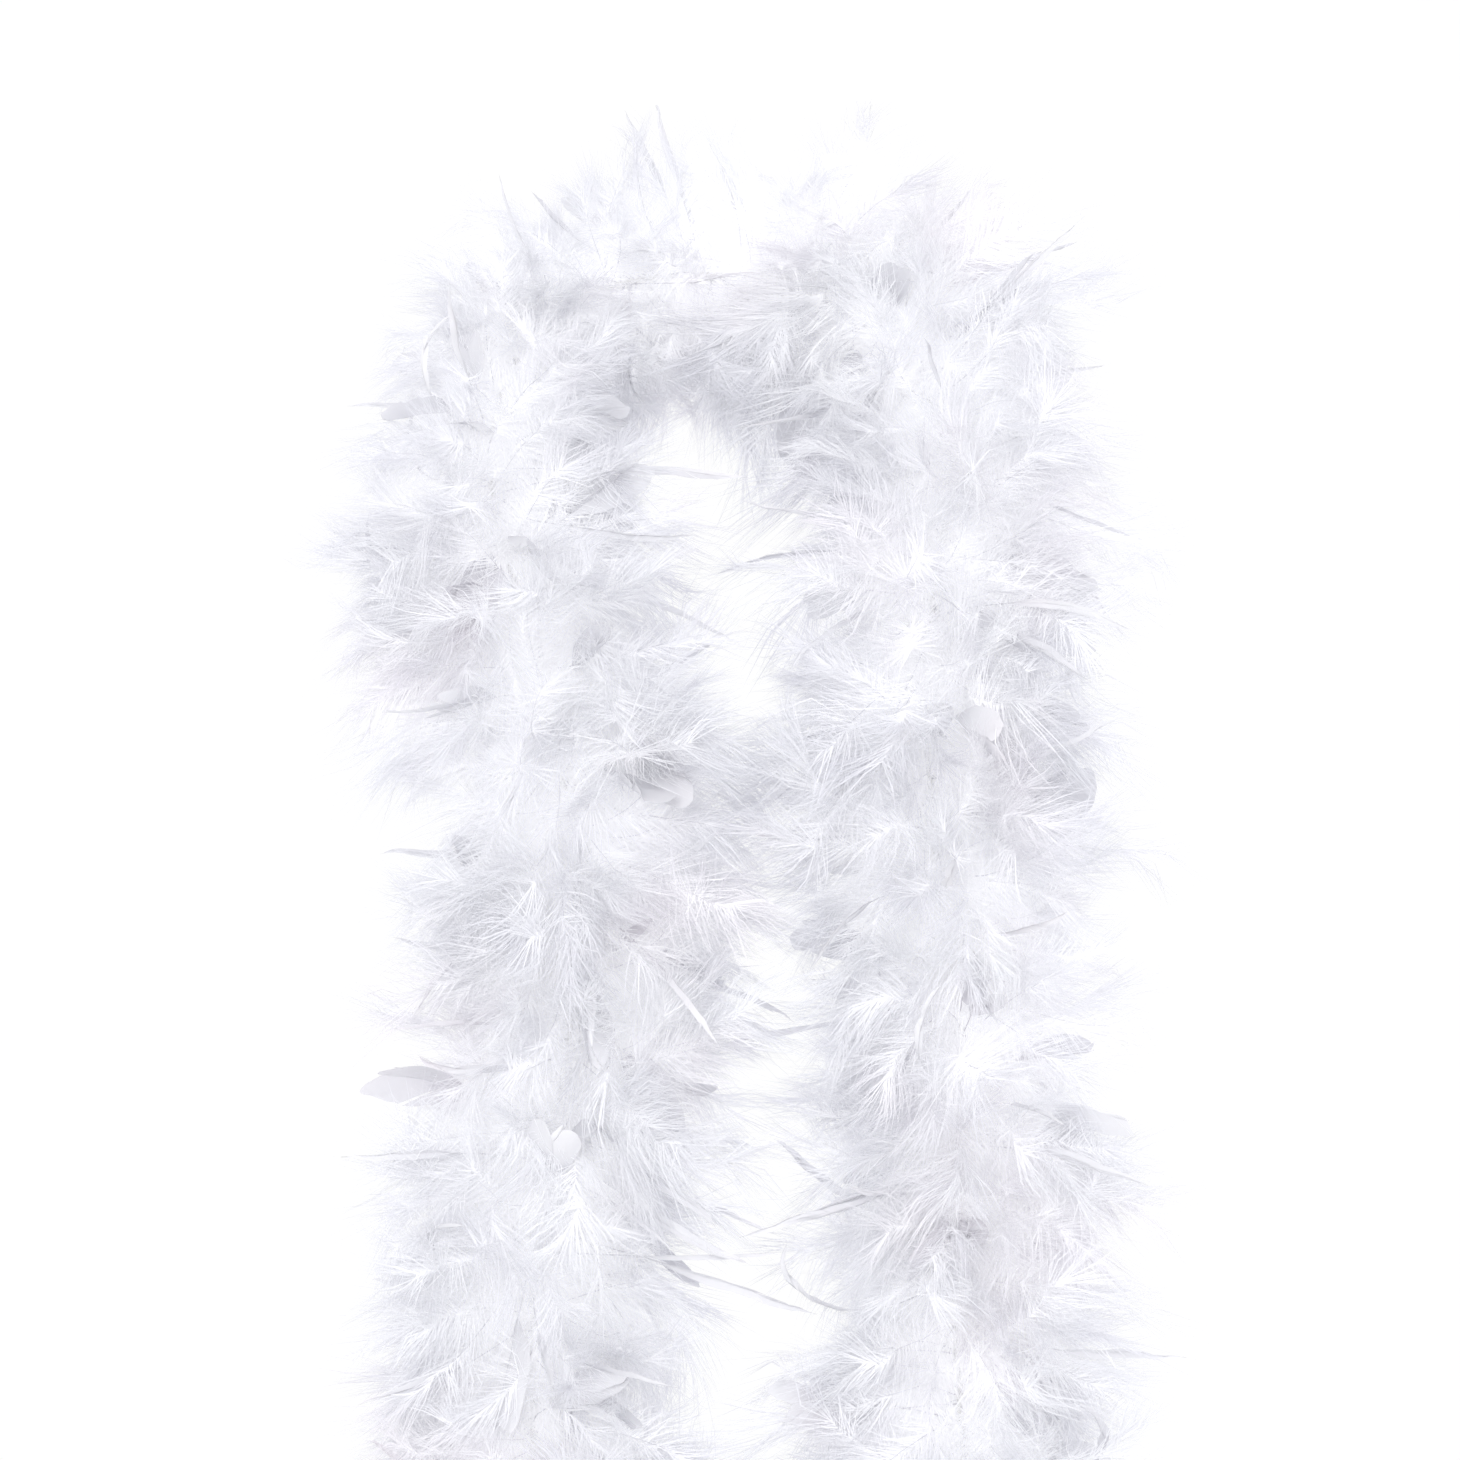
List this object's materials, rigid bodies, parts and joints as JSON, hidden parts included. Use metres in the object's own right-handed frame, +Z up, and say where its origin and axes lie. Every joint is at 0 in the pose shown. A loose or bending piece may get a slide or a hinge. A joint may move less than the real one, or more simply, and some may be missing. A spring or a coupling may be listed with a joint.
{
  "type": "feather boa",
  "caption": "Fluffy white feather boa draped round the neck, both tails hanging straight down in front.",
  "frame": {"origin": "middle of the core cord on the wearer's nape, where the neck carries the boa", "axes": "+Z up, -Y the way the wearer faces, -X the side called left, which is the left of someone who looks at the wearer"},
  "size_m": [0.4313, 0.3231, 0.8668],
  "materials": {
    "feathers": "matte",
    "core_cord": "matte",
    "whipping_thread": "satin"
  },
  "bodies": {
    "shoulders": {"core_cord_shoulders": "core_cord", "feather_section_left_01": "feathers", "feather_section_left_02": "feathers", "feather_section_left_03": "feathers", "feather_section_left_04": "feathers", "feather_section_left_05": "feathers", "feather_section_left_06": "feathers", "feather_section_right_01": "feathers", "feather_section_right_02": "feathers", "feather_section_right_03": "feathers", "feather_section_right_04": "feathers", "feather_section_right_05": "feathers", "feather_section_right_06": "feathers"},
    "left_tail_upper": {"core_cord_left_upper": "core_cord", "feather_section_left_07": "feathers", "feather_section_left_08": "feathers"},
    "left_tail_middle": {"core_cord_left_middle": "core_cord", "feather_section_left_09": "feathers", "feather_section_left_10": "feathers"},
    "left_tail_lower": {"core_cord_left_lower": "core_cord", "feather_section_left_11": "feathers", "feather_section_left_12": "feathers", "end_whipping_left": "whipping_thread", "end_knot_left": "core_cord", "end_loop_left": "core_cord"},
    "right_tail_upper": {"core_cord_right_upper": "core_cord", "feather_section_right_07": "feathers", "feather_section_right_08": "feathers"},
    "right_tail_middle": {"core_cord_right_middle": "core_cord", "feather_section_right_09": "feathers", "feather_section_right_10": "feathers"},
    "right_tail_lower": {"core_cord_right_lower": "core_cord", "feather_section_right_11": "feathers", "feather_section_right_12": "feathers", "end_whipping_right": "whipping_thread", "end_knot_right": "core_cord", "end_loop_right": "core_cord"}
  },
  "joints": [
    {"name": "left_upper_swing", "type": "hinge", "parent": "shoulders", "child": "left_tail_upper", "pos_m": [-0.07896, -0.17801, -0.29634], "axis": [1, 0, 0], "range_deg": [-35, 35]},
    {"name": "left_middle_sway", "type": "hinge", "parent": "left_tail_upper", "child": "left_tail_middle", "pos_m": [-0.08822, -0.178, -0.44135], "axis": [0, 1, 0], "range_deg": [0, 30]},
    {"name": "left_lower_swing", "type": "hinge", "parent": "left_tail_middle", "child": "left_tail_lower", "pos_m": [-0.09795, -0.178, -0.58677], "axis": [1, 0, 0], "range_deg": [-35, 35]},
    {"name": "right_upper_swing", "type": "hinge", "parent": "shoulders", "child": "right_tail_upper", "pos_m": [0.10323, -0.18006, -0.30899], "axis": [1, 0, 0], "range_deg": [-35, 35]},
    {"name": "right_middle_sway", "type": "hinge", "parent": "right_tail_upper", "child": "right_tail_middle", "pos_m": [0.11691, -0.18, -0.4539], "axis": [0, 1, 0], "range_deg": [-30, 0]},
    {"name": "right_lower_swing", "type": "hinge", "parent": "right_tail_middle", "child": "right_tail_lower", "pos_m": [0.1162, -0.18, -0.59956], "axis": [1, 0, 0], "range_deg": [-35, 35]}
  ]
}
